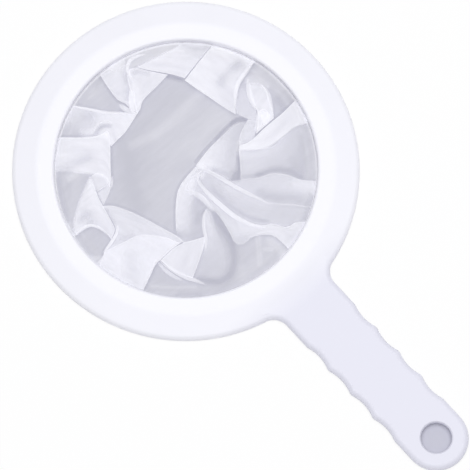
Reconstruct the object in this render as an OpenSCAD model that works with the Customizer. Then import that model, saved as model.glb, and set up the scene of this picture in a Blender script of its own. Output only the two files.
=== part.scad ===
// Hand-held fine-mesh skimmer.
// A hollow, domed ring carries a short finger-grip handle with a hanging hole.
// A flat ring closes the underside and traps the hem of a soft mesh bag, which
// lies collapsed in folds inside the opening.
// The origin is the centre of the ring on its flat underside, +X runs along
// the handle and +Z points out of the mouth.

/* [Ring] */
// Outside diameter of the ring
rim_od = 145; // [136:1:170]
// Diameter of the opening inside the ring
rim_id = 110; // [96:1:114]
// Height of the ring
rim_h = 5.5; // [5.2:0.1:8]
// Wall thickness of the hollow moulding
wall = 1.3; // [1.1:0.1:1.5]
// Width of the flat crown, from the opening outwards
crown_w = 6; // [4:0.5:7]
// Radius of the bend from the crown into the slope
bend_r = 9; // [6:0.5:11]
// Height of the ring's upright outer side
side_h = 0.9; // [0.7:0.1:1.2]
// Radius of the ring's outer shoulder
shoulder_r = 2.3; // [1.9:0.1:2.6]
// Radius of the edge round the opening
mouth_r = 1.2; // [0.8:0.1:1.4]

/* [Handle] */
// Length of the handle, from the ring's outer edge to the tip
handle_len = 95; // [90:1:130]
// Width of the handle over its crests
handle_w = 27; // [24:0.5:32]
// Height of the handle from its rim to its top face
handle_t = 2.8; // [2.6:0.1:4]
// Height of the handle's underside above the ring's underside
handle_lift = 0.4; // [0.3:0.1:0.8]
// Rounding of the handle's upper edges
edge_r = 2.3; // [1:0.1:2.5]
// Fillet between the handle's sides and the ring
neck_r = 7.5; // [5:0.5:10]
// Concave blend from the ring's slope onto the top of the handle
saddle_r = 24; // [10:1:40]
// Diameter of the hanging hole
hole_d = 13; // [9:0.5:14]
// Chamfer round the top of the hanging hole
hole_chamfer = 0.5; // [0.2:0.1:0.8]

/* [Finger grips] */
// Number of finger scallops along each side
grip_n = 4; // [2:1:4]
// Distance from the ring's outer edge to the first scallop
grip_start = 23.5; // [20:0.5:26]
// Distance between two scallops
grip_pitch = 13.7; // [11:0.1:14]
// Depth of a scallop
grip_depth = 1.1; // [0.6:0.1:1.4]
// Length of the straight land between two scallops
grip_land = 1.3; // [0.8:0.1:2.5]

/* [Ribs] */
// Thickness of the stiffening ribs
rib_t = 1.3; // [1:0.1:1.6]
// Number of radial ribs inside the ring
ring_ribs = 12; // [8:1:16]
// Distance between two cross ribs under the handle
cross_pitch = 13.7; // [10:0.1:18]

/* [Base ring] */
// Thickness of the ring that closes the underside
base_t = 1.2; // [1:0.1:1.4]
// How far the base ring shows inside the opening
lip_w = 0.8; // [0.4:0.1:1.2]
// Diameter of the stakes that hold the base ring
stake_d = 2; // [1.6:0.1:2.6]
// Height of the fence that keeps the hem in place
fence_h = 1.7; // [1.2:0.1:1.9]

/* [Net] */
// Diameter of the hoop inside the hem
hoop_d = 1.4; // [1:0.1:1.5]
// Thickness of the hem tape
tape_t = 0.35; // [0.25:0.05:0.45]
// Height of the slot that the net leaves the ring by
slot_h = 0.9; // [0.8:0.05:1]
// Thickness of the solid that stands for the mesh
net_t = 0.4; // [0.3:0.05:0.5]
// Number of main folds in the collapsed bag
fold_n = 9; // [6:1:12]
// Height of a fold above the lowest part of the bag
fold_h = 3; // [2:0.1:3.4]
// Sweep of the folds round the bag from the centre to the ring, in degrees
fold_twist = 40; // [0:5:60]

/* [Fits] */
// Clearance between pieces that are pressed or staked together
fit = 0.1; // [0.05:0.01:0.15]
// Clearance round the soft net
soft_gap = 0.3; // [0.25:0.05:0.35]

/* [Hidden] */
$fn = 96;
ARC = 8; // steps in a small arc
FINE = 2; // degrees in a step of the ring's outer skin
BLEND = 0.05; // how far a fillet runs into what it meets
OVER = 1;    // how far a cutter runs past a face
NET_RINGS = 8;
NET_STEPS = 8; // steps round each fold

rim_r = rim_od / 2;
mouth = rim_id / 2;
crown_r = mouth + crown_w;
handle_top = handle_lift + handle_t;
handle_hw = handle_w / 2;
tip_x = rim_r + handle_len;
end_x = tip_x - handle_hw;
hole_r = hole_d / 2;

// The slope is the straight line that touches both the bend and the shoulder.
// The bend is kept small enough for that line to exist.
slope_run = rim_r - shoulder_r - crown_r;
slope_rise = rim_h - side_h;
bend = min(bend_r, 0.95 * (slope_run * slope_run + slope_rise * slope_rise - shoulder_r * shoulder_r)
    / (2 * (slope_rise - shoulder_r)));
bend_drop = slope_rise - bend;
slope = atan2(bend_drop, slope_run) + asin((bend - shoulder_r) / norm([slope_run, bend_drop]));
slope_r0 = crown_r + bend * sin(slope);
slope_z0 = rim_h - bend * (1 - cos(slope));

// The saddle's arc touches the slope and the handle's top face.
saddle_x = slope_r0 + (slope_z0 - handle_top) / tan(slope);
saddle_reach = max(BLEND, min(saddle_r * tan(slope / 2), (saddle_x - slope_r0) / cos(slope)));
saddle_arc_r = saddle_reach / tan(slope / 2);

// The hem lies on the base ring, just outside the ring's inner wall.
hem_r = hoop_d / 2 + fit + tape_t;
hem_x = mouth + wall + soft_gap + hem_r;
hem_z = base_t + soft_gap / 2 + hem_r;
fence_x = hem_x + hem_r + soft_gap;
ribs_x = fence_x + rib_t + soft_gap;
cavity_r = rim_r - wall;
stake_x = (ribs_x + cavity_r) / 2;
slot_z = base_t + slot_h;
flap_z = base_t + (slot_h - tape_t) / 2;

// A scallop is a circular cut whose chord leaves a land on each side.
grip_chord = grip_pitch - grip_land;
grip_r = (grip_chord * grip_chord / 4 + grip_depth * grip_depth) / (2 * grip_depth);

// The fillet circle touches the ring and the handle's side.
neck_y = handle_hw + neck_r - BLEND;
neck_x = sqrt(pow(rim_r + neck_r - BLEND, 2) - neck_y * neck_y);

net_r = hem_x - hem_r - soft_gap - soft_gap;
net_edge_z = flap_z + tape_t / 2;
net_low = soft_gap + net_t / 2;

// Points on an arc round c, from angle a to angle b.
function arc(c, r, a, b, n = ARC) =
    [for (i = [0:n]) let (t = a + (b - a) * i / n) [c[0] + r * cos(t), c[1] + r * sin(t)]];

// The ring's outer skin, inset by t, from the crown down to the outer wall's foot.
// Each step of its arcs turns through about the given angle.
function dome(t, step = 4 * FINE) = concat(
    arc([crown_r, rim_h - bend], bend - t, 90, 90 - slope, ceil(slope / step)),
    arc([rim_r - shoulder_r, side_h], shoulder_r - t, 90 - slope, 0, ceil((90 - slope) / step)),
    [[rim_r - t, 0]]);

function reversed(v) = [for (i = [len(v) - 1:-1:0]) v[i]];

module at_ribs() {
    for (i = [0:ring_ribs - 1])
        rotate([0, 0, (i + 0.5) * 360 / ring_ribs]) children();
}

module both_sides() {
    children();
    mirror([0, 1, 0]) children();
}

// ---- Frame: hollow ring and handle in one moulding ----

// The ring's wall: inner wall, crown, slope, shoulder and outer wall.
module rim_shell() {
    rotate_extrude()
        polygon(concat(
            [[mouth, slot_z]],
            arc([mouth + mouth_r, rim_h - mouth_r], mouth_r, 180, 90),
            dome(0, FINE),
            reversed(dome(wall)),
            [[mouth + wall, rim_h - wall], [mouth + wall, slot_z]]));
}

// Radial ribs that stiffen the crown and carry the base ring.
module rim_ribs() {
    foot = base_t + fit;
    at_ribs() {
        rotate([90, 0, 0])
            translate([0, 0, -rib_t / 2])
                linear_extrude(rib_t)
                    polygon(concat(
                        [[ribs_x, foot], [ribs_x, rim_h - wall / 2]],
                        [for (p = dome(wall / 2)) if (p[0] > ribs_x && p[1] > foot) p],
                        [[rim_r - wall / 2, foot]]));
        translate([stake_x, 0, fit]) cylinder(d = stake_d, h = foot);
    }
}

// A half of the handle's cross-section, with its upper edge rounded.
module grip_section(half_w) {
    polygon(concat(
        [[0, handle_lift], [half_w, handle_lift]],
        arc([half_w - edge_r, handle_top - edge_r], edge_r, 0, 90),
        [[0, handle_top]]));
}

// A vertical cutter of radius r that leaves a rounded upper edge.
module round_cutter(r) {
    rotate_extrude()
        polygon(concat(
            [[0, 0], [r, 0]],
            arc([r + edge_r, handle_top - edge_r], edge_r, 180, 90),
            [[r + edge_r, rim_h + OVER], [0, rim_h + OVER]]));
}

module handle_bar() {
    both_sides()
        translate([mouth, 0, 0])
            rotate([90, 0, 90])
                linear_extrude(end_x - mouth) grip_section(handle_hw);
    translate([end_x, 0, 0])
        rotate([0, 0, -90])
            rotate_extrude(angle = 180) grip_section(handle_hw);
}

// The block that the neck's fillets are cut from.
module neck_plan() {
    touch = rim_r / (rim_r + neck_r - BLEND);
    polygon([[mouth, -mouth * neck_y / neck_x], [mouth, mouth * neck_y / neck_x],
             [neck_x * touch, neck_y * touch], [neck_x, neck_y],
             [neck_x, -neck_y], [neck_x * touch, -neck_y * touch]]);
}

module neck_cutters() {
    both_sides() translate([neck_x, neck_y, 0]) round_cutter(neck_r);
}

module grip_cutters() {
    for (i = [0:grip_n - 1])
        both_sides()
            translate([rim_r + grip_start + i * grip_pitch, handle_hw - grip_depth + grip_r, 0])
                round_cutter(grip_r);
}

// The concave blend between the ring's slope and the handle's top face.
module saddle() {
    start = [saddle_x - saddle_reach * cos(slope), handle_top + saddle_reach * sin(slope)];
    stop = [saddle_x + saddle_reach, handle_top];
    centre = [stop[0], handle_top + saddle_arc_r];
    edge = max(stop[0] + BLEND, rim_r);
    intersection() {
        rotate_extrude()
            polygon(concat(
                arc(centre, saddle_arc_r, 270 - slope, 270, ceil(slope / FINE)),
                [[edge, handle_top], [edge, side_h]],
                reversed([for (p = dome(wall / 2)) if (p[0] > start[0] && p[1] > side_h) p]),
                [[start[0] - wall / 2 * sin(slope), start[1] - wall / 2 * cos(slope)]]));
        difference() {
            linear_extrude(rim_h) neck_plan();
            neck_cutters();
        }
    }
}

// The pocket under the handle, with its ribs and the boss round the hole left in.
module handle_pocket() {
    pocket_hw = handle_hw - grip_depth - wall;
    pocket_x = rim_r + wall;
    difference() {
        translate([0, 0, handle_lift - OVER])
            linear_extrude(handle_t - wall + OVER)
                union() {
                    translate([pocket_x, -pocket_hw])
                        square([end_x - pocket_x, 2 * pocket_hw]);
                    translate([end_x, 0]) circle(handle_hw - wall);
                }
        translate([end_x, 0, 0]) cylinder(r = hole_r + wall, h = handle_top);
        translate([pocket_x, -rib_t / 2, handle_lift]) cube([handle_len, rib_t, handle_t]);
        for (x = [pocket_x + cross_pitch:cross_pitch:end_x - hole_r - wall - rib_t])
            translate([x, -handle_hw, handle_lift]) cube([rib_t, handle_w, handle_t]);
    }
}

module hanging_hole() {
    translate([end_x, 0, 0]) {
        cylinder(r = hole_r, h = rim_h);
        translate([0, 0, handle_top - hole_chamfer])
            cylinder(r1 = hole_r, r2 = hole_r + hole_chamfer + OVER, h = hole_chamfer + OVER);
    }
}

module frame() {
    color("white") {
        difference() {
            union() {
                difference() {
                    union() {
                        handle_bar();
                        translate([0, 0, handle_lift]) linear_extrude(handle_t) neck_plan();
                    }
                    cylinder(r = cavity_r, h = rim_h + OVER);
                    neck_cutters();
                    grip_cutters();
                }
                saddle();
                rim_shell();
            }
            handle_pocket();
            hanging_hole();
        }
        rim_ribs();
    }
}

// ---- Base ring: closes the underside and traps the hem ----

module base_ring() {
    outer = cavity_r - fit;
    inner = mouth - lip_w;
    ease = lip_w / 2;
    color("whitesmoke")
        difference() {
            rotate_extrude()
                polygon([[inner, 0], [outer, 0], [outer, base_t],
                         [fence_x + rib_t, base_t], [fence_x + rib_t, base_t + fence_h],
                         [fence_x, base_t + fence_h], [fence_x, base_t],
                         [inner + ease, base_t], [inner, base_t - ease]]);
            at_ribs()
                translate([stake_x, 0, -OVER])
                    cylinder(d = stake_d + 2 * fit, h = base_t + 2 * OVER);
        }
}

// ---- Net: hoop, hem and bag ----

module net_hoop() {
    color("gainsboro")
        rotate_extrude() translate([hem_x, hem_z]) circle(d = hoop_d);
}

// Tape folded round the hoop, with a flap that carries the mesh out through the slot.
module net_hem() {
    color("aliceblue")
        rotate_extrude()
            difference() {
                union() {
                    translate([hem_x, hem_z]) circle(r = hem_r);
                    translate([net_r + soft_gap / 2, flap_z])
                        square([hem_x - net_r - soft_gap / 2, tape_t]);
                }
                translate([hem_x, hem_z]) circle(r = hem_r - tape_t);
            }
}

// Height of the collapsed bag's middle surface, at a share s of its radius.
// The bag lies flat inside half of its radius, and in folds from there to the ring.
function fold_rise(s) = s < 0.5 ? 0 : pow(sin(360 * (s - 0.5)), 1.2);
function net_z(s, a) =
    net_low + (net_edge_z - net_low) * pow(s, 12)
    + fold_h * fold_rise(s) * pow(0.5 + 0.5 * cos(fold_n * (a - fold_twist * (1 - s))), 1.5);
function net_ring(i, side) =
    let (s = pow(i / NET_RINGS, 0.7), steps = fold_n * NET_STEPS)
    [for (j = [0:steps - 1]) let (a = 360 * j / steps)
        [s * net_r * cos(a), s * net_r * sin(a), net_z(s, a) + side * net_t / 2]];

// A thin closed shell: an upper and a lower sheet of rings joined at the rim.
module net_bag() {
    steps = fold_n * NET_STEPS;
    per_side = 1 + NET_RINGS * steps;
    points = [for (side = [1, -1]) each concat(
        [[0, 0, net_low + side * net_t / 2]],
        [for (i = [1:NET_RINGS]) each net_ring(i, side)])];
    function at(side, i, j) = side * per_side + (i == 0 ? 0 : 1 + (i - 1) * steps + j % steps);
    upper = [for (i = [0:NET_RINGS - 1], j = [0:steps - 1]) each
        i == 0 ? [[at(0, 0, 0), at(0, 1, j + 1), at(0, 1, j)]]
               : [[at(0, i, j), at(0, i, j + 1), at(0, i + 1, j)],
                  [at(0, i, j + 1), at(0, i + 1, j + 1), at(0, i + 1, j)]]];
    lower = [for (f = upper) [f[0] + per_side, f[2] + per_side, f[1] + per_side]];
    edge = [for (j = [0:steps - 1]) each
        [[at(0, NET_RINGS, j), at(0, NET_RINGS, j + 1), at(1, NET_RINGS, j)],
         [at(0, NET_RINGS, j + 1), at(1, NET_RINGS, j + 1), at(1, NET_RINGS, j)]]];
    color("ghostwhite") polyhedron(points, concat(upper, lower, edge), convexity = 6);
}

frame();
base_ring();
net_hoop();
net_hem();
net_bag();
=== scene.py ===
# %% [markdown]
# # A hand-held mesh skimmer, step by step
# The real object is a light white moulding: a hollow, domed ring with a short
# grip handle, closed underneath by a flat ring. A very fine net bag hangs from
# the ring and lies collapsed in folds inside it. The moulded parts arrive
# finished from the CAD model, so this lesson gives them a convincing plastic,
# and then makes the one thing that CAD can only hint at: the soft net.

# %% Load the moulded parts as a fixed frame
import math

import bpy
import bmesh
import numpy as np
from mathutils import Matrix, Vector, noise


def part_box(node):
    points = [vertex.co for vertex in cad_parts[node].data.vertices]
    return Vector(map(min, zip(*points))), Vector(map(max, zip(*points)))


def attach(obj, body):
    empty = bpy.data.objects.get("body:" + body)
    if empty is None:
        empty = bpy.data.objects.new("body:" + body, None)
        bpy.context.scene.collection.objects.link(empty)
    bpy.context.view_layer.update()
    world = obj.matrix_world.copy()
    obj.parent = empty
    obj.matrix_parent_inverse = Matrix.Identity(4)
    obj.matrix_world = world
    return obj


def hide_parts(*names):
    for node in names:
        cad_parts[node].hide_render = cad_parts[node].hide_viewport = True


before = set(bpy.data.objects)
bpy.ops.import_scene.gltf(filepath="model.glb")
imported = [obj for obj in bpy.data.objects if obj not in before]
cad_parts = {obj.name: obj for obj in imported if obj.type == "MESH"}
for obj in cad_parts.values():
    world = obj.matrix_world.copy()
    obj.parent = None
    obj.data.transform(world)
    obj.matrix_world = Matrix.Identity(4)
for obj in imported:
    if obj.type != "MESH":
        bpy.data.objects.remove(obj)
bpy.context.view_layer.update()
bpy.ops.object.select_all(action="DESELECT")
MM = 0.001
print("nodes:", ", ".join(sorted(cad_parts)))

# %% [markdown]
# ## Camera
# The skimmer is seen from almost straight above. The camera leans a little
# towards the lower edge of the view, and the handle runs to the lower right
# corner. The folds of the net are easiest to lay out in this same view, so the
# angle between "right in the view" and the handle is one number that both steps
# use. A long lens from far away keeps the round ring from looking stretched.

# %% Place the camera
VIEW_TURN = math.radians(47.67)
VIEW_TILT = math.radians(12.4)
VIEW_CENTRE = (20.45, -28.28)  # in mm from the middle of the ring, laid out in the view
VIEW_CENTRE_Z = 0.004
VIEW_WIDTH = 0.1955  # metres from edge to edge of the view, at its centre
VIEW_DISTANCE = 3.0
SENSOR_WIDTH = 36


def from_layout(x, y):
    """A point laid out in the view (x right, y up, in mm) in the object's frame."""
    c, s = math.cos(VIEW_TURN), math.sin(VIEW_TURN)
    return x * c - y * s, x * s + y * c


aim_x, aim_y = from_layout(*VIEW_CENTRE)
target = Vector((aim_x * MM, aim_y * MM, VIEW_CENTRE_Z))
back_x, back_y = from_layout(0, -math.sin(VIEW_TILT))
towards = Vector((back_x, back_y, math.cos(VIEW_TILT)))
camera = bpy.data.objects.new("camera", bpy.data.cameras.new("camera"))
bpy.context.scene.collection.objects.link(camera)
camera.location = target + towards * VIEW_DISTANCE
camera.rotation_euler = (-towards).to_track_quat("-Z", "Y").to_euler()
camera.data.sensor_width = SENSOR_WIDTH
camera.data.lens = SENSOR_WIDTH * VIEW_DISTANCE / VIEW_WIDTH
bpy.context.scene.camera = camera
print("camera at", [round(v, 4) for v in camera.location], "lens", round(camera.data.lens), "mm")

# %% [markdown]
# ## Floor and light
# White plastic on a white floor only reads well in soft light. One large lamp
# hangs almost overhead, a little towards the upper right, and the world fills
# the rest. The floor is white, with painted shade on it: a pale grey-lilac tone
# inside the ring and under the hanging hole, painted darker under the net. That
# painted shade is what makes a see-through net visible at all. The white comes
# from what the camera sees of the floor and not from more light, which would
# wash out the object.


# %% A few helpers for node trees
def add(tree, kind, **values):
    """Adds a node. Names that start with in_ set or link its inputs, the rest are settings."""
    made = tree.nodes.new(kind)
    for name, value in values.items():
        if not name.startswith("in_"):
            setattr(made, name, value)
    for name, value in values.items():
        if name.startswith("in_"):
            key = name[3:]
            socket = made.inputs[int(key) if key.isdigit() else key.replace("_", " ")]
            if isinstance(value, bpy.types.NodeSocket):
                tree.links.new(value, socket)
            else:
                socket.default_value = value
    return made


def maths(tree, operation, *terms, clamp=False):
    """The result of one Math node on numbers or sockets."""
    made = add(tree, "ShaderNodeMath", operation=operation, use_clamp=clamp,
               **{f"in_{i}": term for i, term in enumerate(terms)})
    return made.outputs[0]


def blank_material(name):
    """A material with an empty node tree."""
    material = bpy.data.materials.new(name)
    material.use_nodes = True
    material.node_tree.nodes.clear()
    return material, material.node_tree


print("helpers ready: add, maths, blank_material")

# %% The floor's finish
# painted shade: the floor's tone under the hanging hole, and a darker one under the net
PAINTED_HOLE_SHADE = (0.59, 0.59, 0.67, 1)
PAINTED_NET_SHADE = (0.46, 0.46, 0.53, 1)
PAPER_WHITE = (0.98, 0.98, 0.98, 1)
UNDER_NET, NET_EDGE = 0.062, 0.004
UNDER_HOLE, HOLE_EDGE = 0.0085, 0.001
OBJECT_MIDDLE = (0.05, 0, 0)
CLOSE_BY = 0.2
CLOSE_BY_DIM = 0.2  # open floor near the object is this much less white


def near(tree, place, centre, radius, soft):
    """1 within a radius (in metres) of a centre on the floor, fading to 0 over soft."""
    away = add(tree, "ShaderNodeVectorMath", operation="DISTANCE", in_0=place, in_1=centre)
    return maths(tree, "SUBTRACT", 1.0, add(
        tree, "ShaderNodeMapRange", in_Value=away.outputs["Value"], in_1=radius,
        in_2=radius + soft).outputs[0])


def floor_finish(hole):
    """Painted shade on the floor inside the ring and under the hanging hole, and white paper
    outside them.
    """
    material, tree = blank_material("floor_sheet")
    path = add(tree, "ShaderNodeLightPath")
    place = add(tree, "ShaderNodeTexCoord").outputs["Object"]
    under_net = near(tree, place, (0, 0, 0), UNDER_NET, NET_EDGE)
    under_hole = near(tree, place, hole, UNDER_HOLE, HOLE_EDGE)
    outside = maths(tree, "SUBTRACT", 1.0, maths(tree, "MAXIMUM", under_net, under_hole))
    # painted shade: grey-lilac under the hole, darker under the net
    tone = add(tree, "ShaderNodeMix", data_type="RGBA", in_0=under_net, in_6=PAINTED_HOLE_SHADE,
               in_7=PAINTED_NET_SHADE)
    sheet = add(tree, "ShaderNodeBsdfDiffuse", in_Color=tone.outputs[2])
    paper = add(tree, "ShaderNodeBsdfDiffuse", in_Color=PAPER_WHITE)
    glow = add(tree, "ShaderNodeEmission", in_Strength=1.0)
    close_by = near(tree, place, OBJECT_MIDDLE, CLOSE_BY, CLOSE_BY)
    shine = maths(tree, "MULTIPLY", path.outputs["Is Camera Ray"],
                  maths(tree, "SUBTRACT", 1.0, maths(tree, "MULTIPLY", close_by, CLOSE_BY_DIM)))
    white = add(tree, "ShaderNodeMixShader", in_0=shine, in_1=paper.outputs[0],
                in_2=glow.outputs[0])
    both = add(tree, "ShaderNodeMixShader", in_0=outside, in_1=sheet.outputs[0],
               in_2=white.outputs[0])
    add(tree, "ShaderNodeOutputMaterial", in_Surface=both.outputs[0])
    return material


print("the floor shows white beyond", 1000 * UNDER_NET, "mm")

# %% Lay the floor
HOLE_FROM_TIP = 0.0135
FLOOR_SPAN = 4
FLOOR_Z = -0.0002
hanging_hole = Vector((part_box("frame")[1].x - HOLE_FROM_TIP, 0, 0))
bpy.ops.mesh.primitive_plane_add(size=FLOOR_SPAN, location=(0, 0, FLOOR_Z))
floor = bpy.context.object
floor.name = "floor"
floor.data.materials.append(floor_finish(hanging_hole))
print("floor laid, hanging hole at x", round(hanging_hole.x, 4))

# %% The lamp
LAMP_DISTANCE = 1.7
LAMP_LEAN = (0.04, 0.05)  # sideways share of that distance, laid out in the view
lamp_data = bpy.data.lights.new("soft_lamp", "AREA")
lamp_data.shape = "DISK"
lamp_data.size = 1.9
lamp_data.energy = 22
lamp = bpy.data.objects.new("soft_lamp", lamp_data)
bpy.context.scene.collection.objects.link(lamp)
lean_x, lean_y = from_layout(*LAMP_LEAN)
lamp.location = target + Vector((lean_x, lean_y, 1)) * LAMP_DISTANCE
lamp.rotation_euler = (target - lamp.location).to_track_quat("-Z", "Y").to_euler()
print("lamp:", lamp_data.energy, "W at", [round(v, 2) for v in lamp.location])

# %% The sky
SKY_FILL = 0.42
world = bpy.data.worlds.new("studio")
bpy.context.scene.world = world
world.use_nodes = True
studio = world.node_tree
studio.nodes.clear()
sky_path = add(studio, "ShaderNodeLightPath")
sky_fill = add(studio, "ShaderNodeBackground", in_Color=(0.98, 0.98, 1, 1), in_Strength=SKY_FILL)
sky_white = add(studio, "ShaderNodeBackground", in_Color=(1, 1, 1, 1), in_Strength=1.0)
sky = add(studio, "ShaderNodeMixShader", in_0=sky_path.outputs["Is Camera Ray"],
          in_1=sky_fill.outputs[0], in_2=sky_white.outputs[0])
add(studio, "ShaderNodeOutputWorld", in_Surface=sky.outputs[0])
bpy.context.scene.view_settings.view_transform = "Standard"
bpy.context.scene.cycles.transparent_max_bounces = 32
print("sky fill", SKY_FILL)

# %% [markdown]
# ## Moulded plastic
# The ring, the handle and the closing ring are injection-moulded in white
# plastic with a faint cool tint. Further along the handle the colour is greyed
# with painted shade, for a single open-backed wall that lets some light through,
# where two walls behind each other look fully white. One even white would look
# like paper, so the surface is satin, from a fine spark texture in the mould,
# and small changes of gloss come from handling. Both effects are node groups,
# so that all plastics can share them.


# %% Shared effects: an empty group
def new_group(name, inputs, outputs):
    """An empty shader group with named inputs (name, type, default) and outputs."""
    group = bpy.data.node_groups.new(name, "ShaderNodeTree")
    for label, kind, default in inputs:
        socket = group.interface.new_socket(label, in_out="INPUT", socket_type=kind)
        if default is not None:
            socket.default_value = default
    for label, kind in outputs:
        group.interface.new_socket(label, in_out="OUTPUT", socket_type=kind)
    return group, group.nodes.new("NodeGroupInput"), group.nodes.new("NodeGroupOutput")


print("groups so far:", len(bpy.data.node_groups))


# %% Shared effects: mould grain
def mould_grain_group():
    """The height of a fine spark texture on top of a broad, faint waviness."""
    group, given, result = new_group(
        "mould_grain",
        [("Place", "NodeSocketVector", None), ("Size", "NodeSocketFloat", 0.0004)],
        [("Height", "NodeSocketFloat")])
    scale = maths(group, "DIVIDE", 1.0, given.outputs["Size"])
    fine = add(group, "ShaderNodeTexNoise", in_Vector=given.outputs["Place"], in_Scale=scale,
               in_Detail=2.0, in_Roughness=0.6)
    broad = add(group, "ShaderNodeTexNoise", in_Vector=given.outputs["Place"], in_Scale=55.0,
                in_Detail=1.0)
    waves = maths(group, "MULTIPLY", broad.outputs[0], 0.8)
    group.links.new(maths(group, "ADD", fine.outputs[0], waves), result.inputs["Height"])
    return group


MOULD_GRAIN = mould_grain_group()
print("group:", MOULD_GRAIN.name, "with", len(MOULD_GRAIN.nodes), "nodes")

# %% Shared effects: handling
CLEAN_TONE, TONE_CHANGE = 0.995, 0.03


def handling_group():
    """Where fingers polish or dull the surface: a roughness, and a tone just under 1."""
    group, given, result = new_group(
        "handling",
        [("Place", "NodeSocketVector", None), ("Gloss", "NodeSocketFloat", 0.4),
         ("Change", "NodeSocketFloat", 0.08)],
        [("Roughness", "NodeSocketFloat"), ("Tone", "NodeSocketFloat")])
    cloud = add(group, "ShaderNodeTexNoise", in_Vector=given.outputs["Place"], in_Scale=42.0,
                in_Detail=5.0, in_Roughness=0.62)
    centred = maths(group, "SUBTRACT", cloud.outputs[0], 0.5)
    change = maths(group, "MULTIPLY", centred, given.outputs["Change"])
    group.links.new(maths(group, "ADD", given.outputs["Gloss"], change, clamp=True),
                    result.inputs["Roughness"])
    tone = maths(group, "MULTIPLY", centred, TONE_CHANGE)
    group.links.new(maths(group, "ADD", CLEAN_TONE, tone, clamp=True), result.inputs["Tone"])
    return group


HANDLING = handling_group()
print("group:", HANDLING.name, "with", len(HANDLING.nodes), "nodes")

# %% The plastic itself
# painted shade: between these distances along X the handle's colour greys
SHADE_FROM, SHADE_TO = 0.060, 0.077  # along the handle, where one wall takes over from two
GRAIN_STRENGTH, GRAIN_DEPTH = 0.12, 0.00006


def moulded_plastic(name, colour, gloss, thin_colour=None):
    """Satin white plastic. thin_colour is painted shade that greys the colour further along X."""
    material, tree = blank_material(name)
    place = add(tree, "ShaderNodeTexCoord").outputs["Object"]
    wear = add(tree, "ShaderNodeGroup", node_tree=HANDLING, in_Place=place, in_Gloss=gloss)
    grain = add(tree, "ShaderNodeGroup", node_tree=MOULD_GRAIN, in_Place=place)
    bump = add(tree, "ShaderNodeBump", in_Strength=GRAIN_STRENGTH, in_Distance=GRAIN_DEPTH,
               in_Height=grain.outputs["Height"])
    tint = colour
    # painted shade greys the colour further along the handle
    if thin_colour:
        along_handle = add(tree, "ShaderNodeSeparateXYZ", in_0=place)
        painted_shade = add(tree, "ShaderNodeMapRange", interpolation_type="SMOOTHSTEP",
                   in_Value=along_handle.outputs["X"], in_1=SHADE_FROM, in_2=SHADE_TO)
        tint = add(tree, "ShaderNodeMix", data_type="RGBA", in_0=painted_shade.outputs[0],
                   in_6=(*colour, 1), in_7=(*thin_colour, 1)).outputs[2]
    toned = add(tree, "ShaderNodeVectorMath", operation="SCALE", in_0=tint,
                in_Scale=wear.outputs["Tone"])
    shader = add(tree, "ShaderNodeBsdfPrincipled", in_Base_Color=toned.outputs[0],
                 in_Roughness=wear.outputs["Roughness"], in_IOR=1.49, in_Normal=bump.outputs[0])
    add(tree, "ShaderNodeOutputMaterial", in_Surface=shader.outputs[0])
    return material


def finish_node(node, material):
    """Gives every slot of a CAD node's mesh the same finish."""
    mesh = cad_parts[node].data
    for i in range(len(mesh.materials)):
        mesh.materials[i] = material


# the frame's handle greys towards its end with painted shade
frame_white = moulded_plastic("frame_white", (0.935, 0.935, 0.995), 0.42,
                              thin_colour=(0.79, 0.79, 0.888))
finish_node("frame", frame_white)
finish_node("base_ring", moulded_plastic("base_white", (0.94, 0.94, 0.98), 0.5))
finish_node("net_hoop", moulded_plastic("hoop_white", (0.9, 0.9, 0.92), 0.35))
print("plastics on", ["frame", "base_ring", "net_hoop"])

# %% [markdown]
# ## The net: one sheet, many folds
# The bag is a very fine knitted mesh. One layer of it hides about a third of
# what lies behind it, so wherever it folds over itself it turns whiter. That
# makes the fold pattern the whole character of the piece. A cloth simulation
# would make a net collapse too, but into folds of its own. So this one is laid
# out like a paper pattern: a bottom sheet that covers the opening, laps
# where the cloth folds back over itself, narrow pleats, and soft gathers or
# taut places in the bottom sheet. Each vertex carries the number of layers of
# cloth that it stands for, because bunched cloth is denser than flat cloth.
# Everything is laid out in mm, in the camera's view.

# %% A smooth line through listed points
SPAN_STEPS = 16


def along(points, fractions):
    """Points at the given fractions of the length of a smooth line through the points."""
    p = np.array(points, float)
    if len(p) == 1:
        return np.repeat(p, len(fractions), axis=0)
    q = np.vstack([2 * p[0] - p[1], p, 2 * p[-1] - p[-2]])
    t = np.linspace(0, 1, SPAN_STEPS + 1)[:, None]
    dense = np.vstack([
        0.5 * (2 * b + (c - a) * t + (2 * a - 5 * b + 4 * c - d) * t ** 2
               + (3 * b - a - 3 * c + d) * t ** 3)
        for a, b, c, d in zip(q, q[1:], q[2:], q[3:])])
    steps = np.r_[0, np.cumsum(np.linalg.norm(np.diff(dense, axis=0), axis=1))]
    at = np.array(fractions) * steps[-1]
    return np.column_stack([np.interp(at, steps, dense[:, k]) for k in (0, 1)])


print("a quarter of a bend:", along([(0, 0), (10, 0), (10, 10)], [0.25]).round(2).tolist())

# %% Gathers and taut places follow such lines
LINE_STEPS = 40
REACH = 2.6  # a line has no effect further away than this many half widths


def share_near(points, half, x, y):
    """1 on a listed line, fading to 0 at a few half widths from it."""
    share = np.zeros(x.shape)
    line = along(points, np.linspace(0, 1, LINE_STEPS))
    reach = REACH * half
    close = ((x > line[:, 0].min() - reach) & (x < line[:, 0].max() + reach)
             & (y > line[:, 1].min() - reach) & (y < line[:, 1].max() + reach))
    px, py = x[close], y[close]
    best = np.full(px.shape, 1e9)
    for (ax, ay), (bx, by) in zip(line, line[1:]):
        dx, dy = bx - ax, by - ay
        t = np.clip(((px - ax) * dx + (py - ay) * dy) / max(dx * dx + dy * dy, 1e-12), 0, 1)
        best = np.minimum(best, np.hypot(px - ax - t * dx, py - ay - t * dy))
    share[close] = np.exp(-(best / half) ** 2)
    return share


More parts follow.
